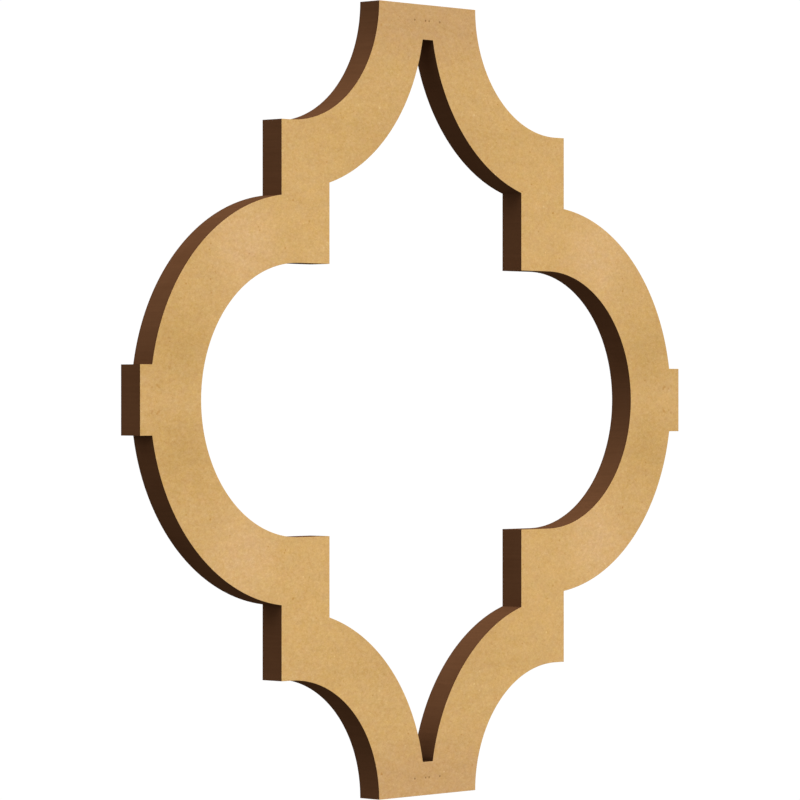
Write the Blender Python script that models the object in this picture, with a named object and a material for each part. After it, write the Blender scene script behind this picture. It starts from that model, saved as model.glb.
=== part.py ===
"""Fretwork wall panel.

One flat board, cut right through to a quatrefoil lattice outline: a round lobe at
each side, an ogee neck that narrows to a slot at the top and at the bottom, square
steps where the lobes meet the necks, and an open centre that follows the same line
one band width further in.

Metres, +Z up, +X to the viewer's right. The panel stands upright with its front
towards -Y and its back in the plane Y = 0. The origin is on the back, in the middle
of the top bridge, where the panel is fixed to the wall.
"""

import math

import bpy

# ---------------------------------------------------------------- dimensions
HEIGHT = 0.2880            # top edge to bottom edge
WIDTH = 0.2890             # end of the left tab to end of the right tab
THICKNESS = 0.0095         # the board
BAND = 0.0243              # width of the band, square to its edges

LOBE_X = 0.0671            # centre of a side lobe's two arcs, on the mid height
LOBE_R = 0.0727            # its outer arc; the inner arc is one band smaller

NECK_X = 0.0710            # centre of a neck's two arcs, level with the top edge
NECK_R = 0.0451            # its outer arc; the inner arc is one band larger

STEP_X = 0.0760            # upright side of the square step, on the outside
TAB_HALF = BAND / 2        # the side tabs are one band wide
BRIDGE_UP = 0.0127         # board left above the top slot
BRIDGE_DOWN = 0.01215      # and below the bottom slot

CHORD = 0.00002            # arcs are drawn with chords that stay this close to them

LOBE_R_IN = LOBE_R - BAND
NECK_R_IN = NECK_R + BAND
STEP_X_IN = STEP_X - BAND
TOP = HEIGHT / 2
SIDE = WIDTH / 2
ORIGIN_UP = TOP - BRIDGE_UP / 2   # height of the origin above the panel's centre

BOARD_COLOUR = (0.637, 0.394, 0.152, 1.0)


# ------------------------------------------------------------------- outline
def arc(cx, cz, r, start, end):
    """Points on a circle from one angle to another, in radians, both ends included."""
    widest = 2.0 * math.acos(1.0 - CHORD / r)
    n = max(2, math.ceil(abs(end - start) / widest))
    return [
        (
            cx + r * math.cos(start + (end - start) * i / n),
            cz + r * math.sin(start + (end - start) * i / n),
        )
        for i in range(n + 1)
    ]


def outer_quarter():
    """Upper right quarter of the outside, from the top edge to the side tab."""
    neck = arc(NECK_X, TOP, NECK_R, math.pi, 1.5 * math.pi)
    step_foot = math.acos((STEP_X - LOBE_X) / LOBE_R)
    tab_root = math.asin(TAB_HALF / LOBE_R)
    lobe = arc(LOBE_X, 0.0, LOBE_R, step_foot, tab_root)
    return neck + [(STEP_X, TOP - NECK_R)] + lobe + [(SIDE, TAB_HALF)]


def inner_quarter(bridge):
    """Upper right quarter of the opening, from the slot's end to the lobe's far side."""
    slot = math.pi + math.asin(bridge / NECK_R_IN)
    step_head = math.pi + math.acos((NECK_X - STEP_X_IN) / NECK_R_IN)
    neck = arc(NECK_X, TOP, NECK_R_IN, slot, step_head)
    lobe = arc(LOBE_X, 0.0, LOBE_R_IN, 0.5 * math.pi, 0.0)
    return neck + [(STEP_X_IN, LOBE_R_IN)] + lobe


def whole_ring(upper, lower):
    """Mirror two right-hand quarters into one closed ring; the lower one is given upright."""
    right = upper + [(x, -z) for x, z in reversed(lower)]
    ring = right + [(-x, z) for x, z in reversed(right)]
    kept = []
    for point in ring:
        if not kept or math.dist(point, kept[-1]) > 1e-6:
            kept.append(point)
    if math.dist(kept[0], kept[-1]) < 1e-6:
        kept.pop()
    return kept


# --------------------------------------------------------------------- build
def clear_scene():
    for obj in list(bpy.data.objects):
        bpy.data.objects.remove(obj, do_unlink=True)


def board_material():
    material = bpy.data.materials.new("raw_fibreboard")
    material.use_nodes = True
    shader = next(n for n in material.node_tree.nodes if n.type == "BSDF_PRINCIPLED")
    shader.inputs["Base Color"].default_value = BOARD_COLOUR
    shader.inputs["Roughness"].default_value = 0.85
    shader.inputs["Metallic"].default_value = 0.0
    return material


def cut_board(name, rings, thickness, material, collection):
    """A board cut to the rings: the first is its outside, the rest are openings."""
    outline = bpy.data.curves.new(name, "CURVE")
    outline.dimensions = "2D"
    outline.fill_mode = "BOTH"
    outline.extrude = thickness / 2
    outline.resolution_u = 1
    outline.render_resolution_u = 0
    for ring in rings:
        spline = outline.splines.new("POLY")
        spline.points.add(len(ring) - 1)
        for point, (x, z) in zip(spline.points, ring):
            point.co = (x, z, 0.0, 1.0)
        spline.use_cyclic_u = True
    outline.materials.append(material)
    board = bpy.data.objects.new(name, outline)
    collection.objects.link(board)
    return board


def main():
    clear_scene()
    parts = bpy.data.collections.new("fretwork_wall_panel")
    bpy.context.scene.collection.children.link(parts)

    panel = cut_board(
        "fretwork_panel",
        [
            whole_ring(outer_quarter(), outer_quarter()),
            whole_ring(inner_quarter(BRIDGE_UP), inner_quarter(BRIDGE_DOWN)),
        ],
        THICKNESS,
        board_material(),
        parts,
    )
    # Stood upright, back on the wall plane, origin in the middle of the top bridge.
    panel.rotation_euler = (math.radians(90.0), 0.0, 0.0)
    panel.location = (0.0, -THICKNESS / 2, -ORIGIN_UP)


main()
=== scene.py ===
"""Looks of the fretwork wall panel: raw fibreboard with pale brown faces and dark, scorched cut edges.

The board is rebuilt here as one closed mesh on the same outline as the solid, with eased
arrises, the faint ripple that cutting leaves in the walls, and small dents in both bridges.
"""

import math

import bpy
import numpy as np
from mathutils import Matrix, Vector, geometry, noise


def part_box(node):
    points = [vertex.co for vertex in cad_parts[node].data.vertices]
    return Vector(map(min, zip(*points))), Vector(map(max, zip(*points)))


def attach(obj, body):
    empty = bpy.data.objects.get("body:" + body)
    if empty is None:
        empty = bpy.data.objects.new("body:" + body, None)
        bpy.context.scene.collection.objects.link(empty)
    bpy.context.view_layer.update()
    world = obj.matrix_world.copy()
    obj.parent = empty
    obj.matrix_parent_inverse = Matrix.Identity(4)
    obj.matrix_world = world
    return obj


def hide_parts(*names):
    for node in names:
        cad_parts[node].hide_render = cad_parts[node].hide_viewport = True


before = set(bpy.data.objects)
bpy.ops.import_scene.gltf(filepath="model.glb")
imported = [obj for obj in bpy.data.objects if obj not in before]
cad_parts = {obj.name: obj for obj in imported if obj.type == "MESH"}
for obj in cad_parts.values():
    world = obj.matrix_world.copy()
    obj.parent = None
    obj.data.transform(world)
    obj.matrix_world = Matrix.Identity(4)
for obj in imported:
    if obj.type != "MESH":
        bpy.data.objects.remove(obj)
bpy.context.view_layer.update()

# ------------------------------------------------------------- the solid's sizes (metres)
node_low, node_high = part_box("fretwork_panel")
TOP = 0.1440
SIDE = 0.1445
THICK = 0.0095
BAND = 0.0243
LOBE_X, LOBE_R = 0.0671, 0.0727
NECK_X, NECK_R = 0.0710, 0.0451
STEP_X = 0.0760
TAB_HALF = BAND / 2
BRIDGE_UP, BRIDGE_DOWN = 0.0127, 0.01215
LOBE_R_IN, NECK_R_IN, STEP_X_IN = LOBE_R - BAND, NECK_R + BAND, STEP_X - BAND
CENTRE_Z = (node_low.z + node_high.z) / 2

# ------------------------------------------------------------- the fine mesh
PITCH = 0.00060            # spacing of the points along a wall
EASE = 0.00006             # radius that the arrises are rubbed to
WALL_ROWS = 10             # rows of faces between the two arrises
FACE_PITCH = 0.00125       # spacing of the points inside a face
RIPPLE = 0.000014          # how deep cutting ripples the walls
FACE_RELIEF = 0.000009     # and how uneven the pressed faces are
MAP_FRONT = (0.003, 0.256, 0.742)   # left, low and size of the front on the unit map
MAP_BACK = (0.750, 0.752, 0.246)    # the same for the back
MAP_WALL = 2.9             # length on the map of a metre of wall
DENT_R, DENT_DEEP = 0.00037, 0.00012
DENT_Z = 0.1379            # the dents' height above and below the centre
DENT_X = (0.00095, 0.00675)
SET_OFF = (0.00025, -0.00025)        # the marks sit a little left of the middle, and a little high


def arc(cx, cz, r, start, end):
    n = max(2, math.ceil(abs(end - start) * r / PITCH))
    a = np.linspace(start, end, n + 1)
    return [(cx + r * math.cos(t), cz + r * math.sin(t)) for t in a]


def line(a, b):
    n = max(1, math.ceil(math.dist(a, b) / PITCH))
    return [(a[0] + (b[0] - a[0]) * i / n, a[1] + (b[1] - a[1]) * i / n) for i in range(n + 1)]


def outer_runs():
    """Smooth runs of the outside's upper right quarter; they meet at sharp corners."""
    foot = math.acos((STEP_X - LOBE_X) / LOBE_R)
    root = math.asin(TAB_HALF / LOBE_R)
    shoulder = (STEP_X, TOP - NECK_R)
    lobe = arc(LOBE_X, 0.0, LOBE_R, foot, root)
    return [
        line((0.0, TOP), (NECK_X - NECK_R, TOP)),
        arc(NECK_X, TOP, NECK_R, math.pi, 1.5 * math.pi)
        + line((NECK_X, TOP - NECK_R), shoulder)[1:],
        line(shoulder, lobe[0]),
        lobe,
        line(lobe[-1], (SIDE, TAB_HALF)),
        line((SIDE, TAB_HALF), (SIDE, 0.0)),
    ]


def inner_runs(bridge):
    slot = math.pi + math.asin(bridge / NECK_R_IN)
    head = math.pi + math.acos((NECK_X - STEP_X_IN) / NECK_R_IN)
    neck = arc(NECK_X, TOP, NECK_R_IN, slot, head)
    corner = (STEP_X_IN, LOBE_R_IN)
    return [
        line((0.0, neck[0][1]), neck[0]),
        neck,
        line(neck[-1], corner),
        line(corner, (LOBE_X, LOBE_R_IN)) + arc(LOBE_X, 0.0, LOBE_R_IN, 0.5 * math.pi, 0.0)[1:],
    ]


def ring(upper, lower):
    """One closed ring, clockwise from the top as seen from the front: its points, and where it has corners."""
    def flip(runs, sx, sz):
        return [[(sx * x, sz * z) for x, z in run] for run in runs]

    def back(runs):
        return [run[::-1] for run in runs[::-1]]

    runs = upper + back(flip(lower, 1, -1)) + flip(lower, -1, -1) + back(flip(upper, -1, 1))
    points, corner = [], []
    for run in runs:
        points += run[:-1]
        corner += [True] + [False] * (len(run) - 2)
    points, corner = np.array(points), np.array(corner)
    before, after = points - np.roll(points, 1, 0), np.roll(points, -1, 0) - points
    before /= np.linalg.norm(before, axis=1)[:, None]
    after /= np.linalg.norm(after, axis=1)[:, None]
    corner &= (before * after).sum(1) < math.cos(math.radians(8))
    return points, corner, before, after


def inward(points, corner, before, after, into):
    """For each point, the step into the board that moves both of its walls by one unit."""
    normal = np.stack([before[:, 1], -before[:, 0]], 1), np.stack([after[:, 1], -after[:, 0]], 1)
    both = normal[0] + normal[1]
    both /= np.linalg.norm(both, axis=1)[:, None]
    return into * both / (both * normal[0]).sum(1)[:, None]


def wall_profile():
    """(step into the board, depth behind the front) for each row from the front face to the back face."""
    turn = [math.radians(90 * k / 3) for k in range(4)]
    front = [(EASE * (1 - math.sin(t)), EASE * (1 - math.cos(t))) for t in turn]
    rows = [(0.0, EASE + (THICK - 2 * EASE) * k / WALL_ROWS) for k in range(1, WALL_ROWS)]
    return front + rows + [(s, THICK - d) for s, d in front[::-1]]


def ripple(run, depth, seed):
    """0 to 1: shallow ripples along the cut that lean a little through the thickness."""
    a = noise.noise(Vector((run / 0.0021 + depth * 60, depth / 0.009, seed)))
    b = noise.noise(Vector((run / 0.011, depth / 0.012, seed + 7.3)))
    return min(max(0.5 + 0.45 * a + 0.35 * b, 0.0), 1.0)


def solid_at(x, z, margin):
    """True where the board is, at least margin away from its outline."""
    x, z = np.abs(x), np.asarray(z)
    slot_end = np.where(z > 0, TOP - BRIDGE_UP, TOP - BRIDGE_DOWN)
    z = np.abs(z)
    from_lobe, from_neck = np.hypot(x - LOBE_X, z), np.hypot(x - NECK_X, z - TOP)
    lobe = (from_lobe < LOBE_R - margin) & (z < TOP - NECK_R)
    block = (x < STEP_X - margin) & (z < TOP - NECK_R - margin)
    neck = (x < NECK_X) & (z < TOP - margin) & (from_neck > NECK_R + margin)
    tab = (x > LOBE_X) & (x < SIDE - margin) & (z < TAB_HALF - margin)
    board = lobe | block | neck | tab
    hole = (x > LOBE_X) & (from_lobe < LOBE_R_IN + margin)
    hole |= (x <= LOBE_X) & (x > STEP_X_IN - margin) & (z < LOBE_R_IN + margin)
    hole |= (x <= STEP_X_IN + margin) & (z < LOBE_R_IN + margin)
    hole |= (
        (x < STEP_X_IN + margin) & (z < slot_end + margin) & (from_neck > NECK_R_IN - margin)
    )
    return board & ~hole


def face_points(dents):
    """Points inside a face: an uneven triangular grid, with rings of points round each dent."""
    rng = np.random.default_rng(11)
    xs = np.arange(-SIDE, SIDE, FACE_PITCH)
    zs = np.arange(-TOP, TOP, FACE_PITCH * 0.866)
    x, z = np.meshgrid(xs, zs)
    x = x + np.where(np.arange(len(zs)) % 2, FACE_PITCH / 2, 0.0)[:, None]
    x = x + rng.uniform(-0.2, 0.2, x.shape) * FACE_PITCH
    z = z + rng.uniform(-0.2, 0.2, z.shape) * FACE_PITCH
    keep = solid_at(x, z, 0.0009)
    points = np.stack([x[keep], z[keep]], 1)
    deep = np.zeros(len(points))
    for cx, cz in dents:
        away = np.hypot(points[:, 0] - cx, points[:, 1] - cz) > DENT_R * 1.6
        points, deep = points[away], deep[away]
    for cx, cz in dents:
        extra, sunk = [(cx, cz)], [1.0]
        for share, n, s in ((0.45, 8, 0.72), (0.75, 12, 0.3), (1.0, 14, 0.0)):
            for k in range(n):
                t = 2 * math.pi * (k + share) / n
                wobble = 1 + 0.12 * math.sin(3 * t + cx * 900 + cz * 400)
                extra.append((cx + DENT_R * share * wobble * math.cos(t), cz + DENT_R * share * wobble * math.sin(t)))
                sunk.append(s)
        points, deep = np.vstack([points, extra]), np.concatenate([deep, sunk])
    return points, deep


def build_board():
    rings = [
        ring(outer_runs(), outer_runs()),
        ring(inner_runs(BRIDGE_UP), inner_runs(BRIDGE_DOWN)),
    ]
    profile = wall_profile()
    verts, faces, material, places = [], [], [], []
    front_loop, back_loop, edges_2d, ring_2d = [], [], [], []
    sharp = []
    strip_v = 0.004
    for number, (points, corner, before, after) in enumerate(rings):
        # Seen from the front both rings run clockwise, so the board is to the right of
        # the outer one and to the left of the inner one.
        step = inward(points, corner, before, after, 1.0 if number == 0 else -1.0)
        length = np.linalg.norm(np.roll(points, -1, 0) - points, axis=1)
        run = np.concatenate([[0.0], np.cumsum(length)[:-1]])
        at_corner = np.flatnonzero(corner)
        total = length.sum()
        gap = np.abs(run[:, None] - run[at_corner][None])
        near = np.minimum(gap, total - gap).min(1)
        calm = np.clip(near / 0.0015, 0.0, 1.0)
        n, first = len(points), len(verts)
        for r, (inset, depth) in enumerate(profile):
            # The ripple fades out at the arrises, so that the edges stay straight.
            fade = min(1.0, min(depth, THICK - depth) / 0.0012)
            for i in range(n):
                cut = RIPPLE * ripple(run[i], depth, 3.0 + number) * calm[i] * (0.25 + 0.75 * fade)
                s = inset + (cut if inset < EASE else 0.0)
                x, z = points[i] + step[i] * s
                verts.append((x, depth - THICK, z + CENTRE_Z))
        # On the map the wall lies in strips of one length, one above the other.
        height = [0.0]
        for r in range(len(profile) - 1):
            thin = r < 3 or r > len(profile) - 5
            height.append(height[-1] + (0.0009 if thin else MAP_WALL * (profile[r + 1][1] - profile[r][1])))
        strip_long = 0.985 / MAP_WALL
        for r in range(len(profile) - 1):
            a, b = first + r * n, first + (r + 1) * n
            for i in range(n):
                j = (i + 1) % n
                strip, along = divmod(run[i], strip_long)
                u = 0.005 + along * MAP_WALL
                v = strip_v + strip * (height[-1] + 0.003)
                w = u + length[i] * MAP_WALL
                near, far = v + height[r], v + height[r + 1]
                if number:
                    near, far = 2 * v + height[-1] - near, 2 * v + height[-1] - far
                quad = (a + i, a + j, b + j, b + i)
                spot = ((u, near), (w, near), (w, far), (u, far))
                faces.append(quad if number == 0 else quad[::-1])
                places.extend(spot if number == 0 else spot[::-1])
                # The arrises turn from the face's colour to the wall's.
                material.append(0 if r < 2 else 2 if r > len(profile) - 3 else 1)
        strip_v += math.ceil(total / strip_long) * (height[-1] + 0.003)
        for i in at_corner:
            for r in range(len(profile) - 1):
                sharp.append((first + r * n + i, first + (r + 1) * n + i))
        for r in (0, 3, len(profile) - 4, len(profile) - 1):
            for i in range(n):
                sharp.append((first + r * n + i, first + r * n + (i + 1) % n))
        last = first + (len(profile) - 1) * n
        base = len(ring_2d)
        for i in range(n):
            ring_2d.append(points[i] + step[i] * EASE)
            front_loop.append(first + i)
            back_loop.append(last + i)
            edges_2d.append((base + i, base + (i + 1) % n))

    dents = [
        (sx * x - SET_OFF[0], sz * DENT_Z - SET_OFF[1])
        for sz in (1, -1) for x in DENT_X for sx in (-1, 1)
    ]
    for loop, depth, marks, (left, low, size) in (
        (front_loop, 0.0, dents, MAP_FRONT),
        (back_loop, THICK, [], MAP_BACK),
    ):
        inside, deep = face_points(marks)
        flat = [Vector((p[0] * 1000, p[1] * 1000)) for p in ring_2d] + [
            Vector((p[0] * 1000, p[1] * 1000)) for p in inside
        ]
        made, _, tris, origin, _, _ = geometry.delaunay_2d_cdt(flat, edges_2d, [], 0, 1e-6, True)
        start = len(verts)
        sign = 1.0 if depth == 0.0 else -1.0
        seed = 1.7 if depth == 0.0 else 9.1
        for p, sunk in zip(inside, deep):
            rough = 0.5 + 0.5 * noise.noise(Vector((p[0] / 0.0034, p[1] / 0.0034, seed)))
            off = FACE_RELIEF * rough + DENT_DEEP * sunk
            verts.append((p[0], depth - THICK + sign * off, p[1] + CENTRE_Z))
        index = []
        for o in origin:
            k = min(o)
            index.append(loop[k] if k < len(loop) else start + k - len(loop))
        for t in tris:
            c = sum((Vector(made[k]) for k in t), Vector((0.0, 0.0))) / 3 / 1000
            if not solid_at(np.array(c.x), np.array(c.y), EASE * 0.999):
                continue
            (ax, ay), (bx, by), (cx, cy) = (made[k] for k in t)
            turn = (bx - ax) * (cy - ay) - (by - ay) * (cx - ax)
            tri = tuple(index[k] for k in t)
            # Counter-clockwise in X, Z faces -Y.
            tri = tri if (turn > 0) == (depth == 0.0) else tri[::-1]
            faces.append(tri)
            for k in tri:
                x, _, z = verts[k]
                across = x if depth == 0.0 else -x
                places.append((left + size * (0.5 + across / SIDE / 2), low + size * (0.5 + (z - CENTRE_Z) / SIDE / 2)))
            material.append(0 if depth == 0.0 else 2)

    mesh = bpy.data.meshes.new("fretwork_board")
    mesh.from_pydata(verts, [], faces)
    mesh.polygons.foreach_set("material_index", material)
    mesh.update()
    mesh.shade_smooth()
    hard = {tuple(sorted(e)) for e in sharp}
    edge = np.zeros(len(mesh.edges) * 2, np.int32)
    mesh.edges.foreach_get("vertices", edge)
    flags = [tuple(sorted(e)) in hard for e in edge.reshape(-1, 2).tolist()]
    layer = mesh.uv_layers.new(name="OFBake")
    layer.uv.foreach_set("vector", np.array(places, np.float32).ravel())
    mark = mesh.attributes.new("sharp_edge", "BOOLEAN", "EDGE")
    mark.data.foreach_set("value", flags)
    return mesh


# ------------------------------------------------------------- materials
class Graph:
    """A material's node tree, with short calls for the nodes used here."""

    def __init__(self, name):
        self.material = bpy.data.materials.new(name)
        self.material.use_nodes = True
        self.tree = self.material.node_tree
        self.shader = next(n for n in self.tree.nodes if n.type == "BSDF_PRINCIPLED")

    def add(self, kind, inputs=(), **settings):
        made = self.tree.nodes.new(kind)
        for key, value in settings.items():
            setattr(made, key, value)
        for key, value in dict(inputs).items():
            self.put(made.inputs[key], value)
        return made

    def put(self, socket, value):
        if isinstance(value, bpy.types.NodeSocket):
            self.tree.links.new(value, socket)
        else:
            socket.default_value = value

    def math(self, operation, a, b=0.0, c=0.0, clamp=False):
        return self.add(
            "ShaderNodeMath", {0: a, 1: b, 2: c}, operation=operation, use_clamp=clamp
        ).outputs[0]

    def vector(self, operation, a, b=(0.0, 0.0, 0.0), c=(0.0, 0.0, 0.0)):
        made = self.add("ShaderNodeVectorMath", operation=operation)
        for socket, value in zip([s for s in made.inputs if s.type == "VECTOR"], (a, b, c)):
            self.put(socket, value)
        return made.outputs["Value" if operation in ("LENGTH", "DISTANCE") else "Vector"]

    def noise(self, where, scale, detail=2.0, rough=0.5, colour=False):
        made = self.add(
            "ShaderNodeTexNoise",
            {"Vector": where, "Scale": scale, "Detail": detail, "Roughness": rough},
        )
        return made.outputs["Color" if colour else "Fac"]

    def ease(self, value, low, high, to_low=0.0, to_high=1.0):
        """A smooth step from to_low at low to to_high at high."""
        return self.add(
            "ShaderNodeMapRange",
            {"Value": value, "From Min": low, "From Max": high, "To Min": to_low, "To Max": to_high},
            interpolation_type="SMOOTHSTEP",
        ).outputs["Result"]

    def span(self, value, low, high, to_low, to_high):
        return self.add(
            "ShaderNodeMapRange",
            {"Value": value, "From Min": low, "From Max": high, "To Min": to_low, "To Max": to_high},
        ).outputs["Result"]

    def tint(self, colour, by, amount):
        """The colour multiplied by another, in the given amount."""
        made = self.add("ShaderNodeMix", data_type="RGBA", blend_type="MULTIPLY")
        self.put(made.inputs[0], amount)
        self.put(made.inputs[6], colour)
        self.put(made.inputs[7], by)
        return made.outputs[2]

    def scaled(self, colour, by):
        made = self.add("ShaderNodeVectorMath", operation="SCALE")
        self.put(made.inputs[0], colour if isinstance(colour, bpy.types.NodeSocket) else colour[:3])
        self.put(made.inputs["Scale"], by)
        return made.outputs["Vector"]

    def place(self):
        """Where a point of the board is, from the middle of the panel."""
        where = self.add("ShaderNodeTexCoord").outputs["Object"]
        return self.vector("ADD", where, (0.0, 0.0, -CENTRE_Z))


# Broad tones of the pressed face, the same in all four quarters: middle, half widths,
# the share of them where the tone is full, and the tint. The two bridges are browner,
# the shoulders of the lobes paler and cooler, the lobes' sides a little darker above and
# below the tabs, the tabs' corners a little too, and the necks browner along the opening
# than along their outside.
TONES = [
    ((0.000, 0.151), (0.130, 0.035), 0.46, (0.924, 0.901, 0.990)),
    ((0.096, 0.054), (0.025, 0.025), 0.05, (1.090, 1.108, 1.285)),
    ((0.125, 0.019), (0.027, 0.021), 0.05, (0.922, 0.909, 0.834)),
    ((0.063, 0.066), (0.032, 0.036), 0.30, (1.034, 1.034, 1.025)),
    ((0.044, 0.098), (0.024, 0.020), 0.20, (0.994, 0.992, 0.962)),
    ((0.029, 0.092), (0.018, 0.015), 0.05, (0.958, 0.952, 0.945)),
    ((0.045, 0.107), (0.014, 0.014), 0.05, (1.055, 1.061, 1.066)),
    ((0.091, 0.068), (0.014, 0.011), 0.05, (1.026, 1.031, 1.034)),
    ((0.143, 0.011), (0.009, 0.009), 0.05, (0.966, 0.966, 0.944)),
]

# Single flecks that show in all four quarters: place, radius and how dark or pale.
FLECKS = [
    ((0.1363, 0.0049), 0.00062, 0.86),
    ((0.1358, 0.0045), 0.00065, 0.87),
    ((0.1353, 0.0041), 0.00062, 0.86),
    ((0.1401, 0.0051), 0.00060, 0.88),
    ((0.1386, 0.0041), 0.00055, 0.87),
    ((0.0245, 0.1350), 0.00060, 0.82),
    ((0.0700, 0.0702), 0.00050, 0.76),
    ((0.1108, 0.0415), 0.00050, 0.77),
    ((0.1225, 0.0397), 0.00042, 0.78),
    ((0.1085, 0.0442), 0.00045, 0.84),
    ((0.0618, 0.0630), 0.00045, 0.81),
    ((0.0738, 0.0532), 0.00045, 0.80),
    ((0.0442, 0.1005), 0.00042, 0.84),
    ((0.0460, 0.1020), 0.00042, 0.84),
    ((0.0255, 0.1050), 0.00055, 1.26),
    ((0.0182, 0.1392), 0.00045, 1.14),
    ((0.0545, 0.0538), 0.00045, 1.12),
    ((0.1155, 0.0138), 0.00045, 1.10),
]


# How strongly the fine grain moves red, green and blue: its dark grains are browner, its
# pale ones greyer.
GRAIN_TINT = (0.66, 1.17, 1.90)

# The fibres lie flatter than they stand, so all that is fine is drawn out sideways.
DRAWN = (0.80, 1.0, 1.15)


def grain_shade(by):
    """A shade for a fine mark, moved further in blue than in red."""
    return tuple(1.0 + (by - 1.0) * c for c in GRAIN_TINT) + (1.0,)


def face_material(name, plain=False):
    """Pressed face of the board: kraft brown, mottled, with fine fibres and stray flecks."""
    g = Graph(name)
    place = g.place()
    quarter = g.vector("ABSOLUTE", place)
    drawn = g.vector("MULTIPLY", place, DRAWN)
    drawn_quarter = g.vector("MULTIPLY", quarter, DRAWN)
    colour = (0.641, 0.396, 0.1525, 1.0) if not plain else (0.610, 0.380, 0.150, 1.0)

    # Cloudy tone, at three sizes.
    bend = g.noise(quarter, 55.0, 2.0, 0.5, colour=True)
    bent = g.vector("MULTIPLY_ADD", bend, (0.014, 0.014, 0.014), g.vector("ADD", quarter, (-0.007, -0.007, -0.007)))
    if not plain:
        for (cx, cz), (rx, rz), core, tint in TONES:
            off = g.vector("MULTIPLY_ADD", bent, (1 / rx, 0.0, 1 / rz), (-cx / rx, 0.0, -cz / rz))
            colour = g.tint(colour, (*tint, 1.0), g.ease(g.vector("LENGTH", off), core, 1.0, 1.0, 0.0))
    flat = g.vector("MULTIPLY", drawn if plain else drawn_quarter, (0.80, 1.0, 1.20))
    cloud = g.noise(flat, 120.0, 3.0, 1.0)
    warm = g.noise(drawn, 260.0, 2.0, 0.6)
    colour = g.scaled(colour, g.span(cloud, 0.3, 0.7, 0.954, 1.046))
    colour = g.tint(colour, (0.998, 0.986, 0.950, 1.0), g.ease(warm, 0.35, 0.65))

    # Grain of the pressed fibres, with single fine grains on top, and a blue that wanders more
    # than the rest, which is what gives the board its faint greenish and pinkish spots.
    def grained(colour, fine, swing):
        rise = g.add("ShaderNodeVectorMath", operation="SCALE")
        g.put(rise.inputs[0], tuple(swing * c for c in GRAIN_TINT))
        g.put(rise.inputs["Scale"], g.math("SUBTRACT", fine, 0.5))
        return g.vector("MULTIPLY", colour, g.vector("ADD", rise.outputs["Vector"], (1.0, 1.0, 1.0)))

    grain = g.noise(drawn, 760.0, 1.6, 0.8)
    sand = g.noise(drawn, 1650.0, 0.6, 0.5)
    colour = grained(grained(colour, grain, 0.27), sand, 0.20)
    for scale, detail, rough, (red, green, blue) in (
        (380.0, 4.0, 0.9, (0.04, 0.05, 0.54)),
        (250.0, 2.0, 0.6, (0.04, 0.05, 0.12)),
    ):
        hue = g.noise(drawn, scale, detail, rough, colour=True)
        level = (1 - red / 2, 1 - green / 2, 1 - blue / 2)
        colour = g.vector("MULTIPLY", colour, g.vector("MULTIPLY_ADD", hue, (red, green, blue), level))

    # Fibres lying every way: long thin streaks, pale and dark.
    streaks = None
    for turn, lift, shade in ((12, 0.0, 1.11), (-33, 3.1, 0.90), (57, 7.7, 1.09), (-78, 5.3, 0.91)):
        t = math.radians(turn)
        along = (math.cos(t), 0.0, math.sin(t))
        across = (-math.sin(t), 0.0, math.cos(t))
        u = g.add("ShaderNodeVectorMath", {0: drawn, 1: tuple(420 * c for c in along)}, operation="DOT_PRODUCT")
        v = g.add("ShaderNodeVectorMath", {0: drawn, 1: tuple(4200 * c for c in across)}, operation="DOT_PRODUCT")
        laid = g.add("ShaderNodeCombineXYZ", {0: u.outputs["Value"], 1: v.outputs["Value"], 2: lift}).outputs[0]
        fibre = g.ease(g.noise(laid, 1.0, 1.0, 0.5), 0.60, 0.72)
        colour = g.tint(colour, grain_shade(shade), fibre)
        streaks = fibre if streaks is None else g.math("MAXIMUM", streaks, fibre)

    # Stray flecks: in a few cells of a random pattern, one dark or pale dot each.
    for scale, low, radius, shade in (
        (260.0, 0.74, 0.088, 0.78),
        (105.0, 0.70, 0.052, 0.60),
        (310.0, 0.80, 0.105, 1.17),
        (130.0, 0.76, 0.050, 1.32),
    ):
        cell = g.add("ShaderNodeTexVoronoi", {"Vector": drawn, "Scale": scale, "Randomness": 1.0})
        chance = g.add("ShaderNodeSeparateColor", {0: cell.outputs["Color"]}).outputs[0]
        dot = g.ease(cell.outputs["Distance"], radius * 0.55, radius * 1.3, 1.0, 0.0)
        dot = g.math("MULTIPLY", dot, g.math("GREATER_THAN", chance, low))
        colour = g.tint(colour, grain_shade(shade), dot)
    if not plain:
        marked = g.vector("ABSOLUTE", g.vector("ADD", place, (SET_OFF[0], 0.0, SET_OFF[1])))
        for (cx, cz), radius, shade in FLECKS:
            off = g.vector("MULTIPLY_ADD", marked, (1.0, 0.0, 1.0), (-cx, 0.0, -cz))
            dot = g.ease(g.vector("LENGTH", off), radius * 0.4, radius * 1.25, 1.0, 0.0)
            colour = g.tint(colour, grain_shade(shade), dot)
        for x in DENT_X:
            off = g.vector("MULTIPLY_ADD", marked, (1.0, 0.0, 1.0), (-x, 0.0, -DENT_Z))
            dot = g.ease(g.vector("LENGTH", off), DENT_R * 0.6, DENT_R * 1.4, 1.0, 0.0)
            colour = g.tint(colour, (0.58, 0.54, 0.46, 1.0), dot)
    g.put(g.shader.inputs["Base Color"], colour)

    # Matt, with the fibres just off the surface.
    g.put(g.shader.inputs["Roughness"], g.span(grain, 0.3, 0.7, 0.78, 0.90))
    g.shader.inputs["Specular IOR Level"].default_value = 0.15
    height = g.math("MULTIPLY_ADD", streaks, 0.35, g.math("MULTIPLY", grain, 0.9))
    bump = g.add("ShaderNodeBump", {"Height": height, "Strength": 0.35, "Distance": 0.00006})
    g.put(g.shader.inputs["Normal"], bump.outputs["Normal"])
    return g.material


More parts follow.
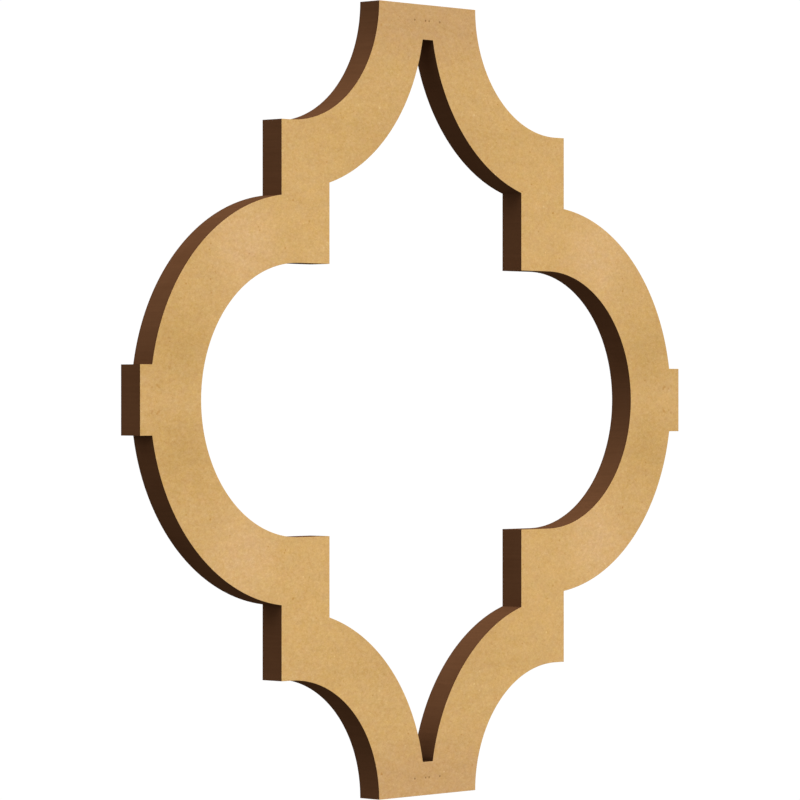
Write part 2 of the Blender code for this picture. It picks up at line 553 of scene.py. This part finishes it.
def wall_material():
    """Scorched cut edge: dark brown, with faint marks of the cut running through the thickness."""
    g = Graph("scorched_edge")
    place = g.place()
    colour = (0.1365, 0.0597, 0.0264, 1.0)

    marks = g.vector("MULTIPLY", place, (900.0, 36.0, 900.0))
    fine = g.vector("MULTIPLY", place, (3200.0, 90.0, 3200.0))
    cut = g.noise(marks, 1.0, 2.0, 0.55)
    thin = g.noise(fine, 1.0, 1.0, 0.5)
    smoke = g.noise(place, 70.0, 3.0, 0.6)
    colour = g.scaled(colour, g.span(cut, 0.25, 0.75, 0.950, 1.050))
    colour = g.scaled(colour, g.span(thin, 0.25, 0.75, 0.970, 1.030))
    colour = g.tint(colour, (0.93, 0.91, 0.89, 1.0), g.ease(smoke, 0.40, 0.75))

    # The board's core is a shade paler than its hard skins, and the burn is deepest at the arrises.
    depth = g.add("ShaderNodeSeparateXYZ", {0: place}).outputs["Y"]
    off_middle = g.math("ABSOLUTE", g.math("ADD", depth, THICK / 2))
    colour = g.tint(colour, (0.90, 0.88, 0.86, 1.0), g.ease(off_middle, THICK / 2 - 0.0011, THICK / 2))
    fibres = g.noise(g.vector("MULTIPLY", place, (800.0, 5000.0, 800.0)), 1.0, 2.0, 0.6)
    colour = g.scaled(colour, g.span(fibres, 0.25, 0.75, 0.980, 1.020))

    # Painted shade: the narrow ends of the slots are darkened where their close walls keep the light out, the floor of
    # the lower one most of all.
    for end, end_shade, floor_shade in ((TOP - BRIDGE_UP, 0.12, 0.0), (BRIDGE_DOWN - TOP, 0.28, 0.45)):
        off = g.vector("MULTIPLY_ADD", place, (1.0, 0.0, 1.0), (0.0, 0.0, -end))
        away = g.vector("LENGTH", off)
        colour = g.scaled(colour, g.span(away, 0.0, 0.0115, 1.0 - end_shade, 1.0))
        if floor_shade:
            above = g.add("ShaderNodeSeparateXYZ", {0: off}).outputs["Z"]
            dark = g.math("MULTIPLY", g.ease(above, 0.0, 0.0020, floor_shade, 0.0), g.ease(away, 0.004, 0.0115, 1.0, 0.0))
            colour = g.scaled(colour, g.math("SUBTRACT", 1.0, dark))
    g.put(g.shader.inputs["Base Color"], colour)

    g.put(g.shader.inputs["Roughness"], g.span(cut, 0.3, 0.7, 0.84, 0.94))
    g.shader.inputs["Specular IOR Level"].default_value = 0.0
    height = g.math("MULTIPLY_ADD", cut, 0.8, g.math("MULTIPLY", thin, 0.3))
    bump = g.add("ShaderNodeBump", {"Height": height, "Strength": 0.3, "Distance": 0.00006})
    g.put(g.shader.inputs["Normal"], bump.outputs["Normal"])
    return g.material


# ------------------------------------------------------------- the piece
mesh = build_board()
mesh.materials.append(face_material("fibreboard_face"))
mesh.materials.append(wall_material())
mesh.materials.append(face_material("fibreboard_back", plain=True))
board = bpy.data.objects.new("fretwork_board", mesh)
bpy.context.scene.collection.objects.link(board)
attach(board, "root")
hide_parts("fretwork_panel")

# ------------------------------------------------------------- camera
camera_data = bpy.data.cameras.new("camera")
camera_data.lens = 189.70
camera_data.sensor_width = 36.0
camera_data.clip_start, camera_data.clip_end = 0.05, 50.0
camera = bpy.data.objects.new("camera", camera_data)
camera.location = (-1.13263, -THICK - 1.03936, CENTRE_Z)
camera.rotation_euler = (math.radians(90.0), 0.0, math.radians(-47.08))
bpy.context.scene.collection.objects.link(camera)
bpy.context.scene.camera = camera


# ------------------------------------------------------------- light
def sun(name, towards, strength, spread):
    """A distant soft lamp; towards points from the panel to the lamp."""
    data = bpy.data.lights.new(name, "SUN")
    data.energy = strength
    data.angle = math.radians(spread)
    lamp = bpy.data.objects.new(name, data)
    lamp.rotation_mode = "QUATERNION"
    lamp.rotation_quaternion = Vector(towards).to_track_quat("Z", "Y")
    bpy.context.scene.collection.objects.link(lamp)
    return lamp


def from_front(turn, tilt):
    """Direction at an angle round the panel (0 right, 90 up, 180 left), tilted that far off straight ahead."""
    t, p = math.radians(turn), math.radians(tilt)
    return (math.sin(p) * math.cos(t), -math.cos(p), math.sin(p) * math.sin(t))


# A soft box above, a broad one over the top, one at the left, a weak flat light from the
# front, and a fill behind on the right for the sides that the camera doesn't see.
sun("front", from_front(0, 0), 1.383, 10)
sun("key", from_front(100, 55), 1.51, 40)
sun("top", from_front(90, 100), 1.652, 80)
sun("left", from_front(150, 92), 0.544, 60)
sun("behind", from_front(0, 140), 1.6, 60)

world = bpy.data.worlds.new("studio")
bpy.context.scene.world = world
world.use_nodes = True
tree = world.node_tree
tree.nodes.clear()
out = tree.nodes.new("ShaderNodeOutputWorld")
mix = tree.nodes.new("ShaderNodeMixShader")
path = tree.nodes.new("ShaderNodeLightPath")
ambient = tree.nodes.new("ShaderNodeBackground")
ambient.inputs["Color"].default_value = (1.0, 1.0, 1.0, 1.0)
ambient.inputs["Strength"].default_value = 0.217
white = tree.nodes.new("ShaderNodeBackground")
white.inputs["Color"].default_value = (1.0, 1.0, 1.0, 1.0)
white.inputs["Strength"].default_value = 1.03
tree.links.new(path.outputs["Is Camera Ray"], mix.inputs[0])
tree.links.new(ambient.outputs[0], mix.inputs[1])
tree.links.new(white.outputs[0], mix.inputs[2])
tree.links.new(mix.outputs[0], out.inputs["Surface"])

bpy.context.scene.view_settings.view_transform = "Standard"
bpy.context.scene.view_settings.look = "None"

# ------------------------------------------------------------- floor
floor_mesh = bpy.data.meshes.new("floor")
around = [(2.4 * math.cos(2 * math.pi * k / 96), 2.4 * math.sin(2 * math.pi * k / 96), CENTRE_Z - 0.40) for k in range(96)]
floor_mesh.from_pydata(around, [], [tuple(range(96))])
floor_look = Graph("floor_matt")
floor_look.shader.inputs["Base Color"].default_value = (0.86, 0.86, 0.855, 1.0)
floor_look.shader.inputs["Roughness"].default_value = 0.95
floor_mesh.materials.append(floor_look.material)
floor = bpy.data.objects.new("floor", floor_mesh)
floor.visible_diffuse = False
floor.visible_glossy = False
floor.visible_shadow = False
bpy.context.scene.collection.objects.link(floor)
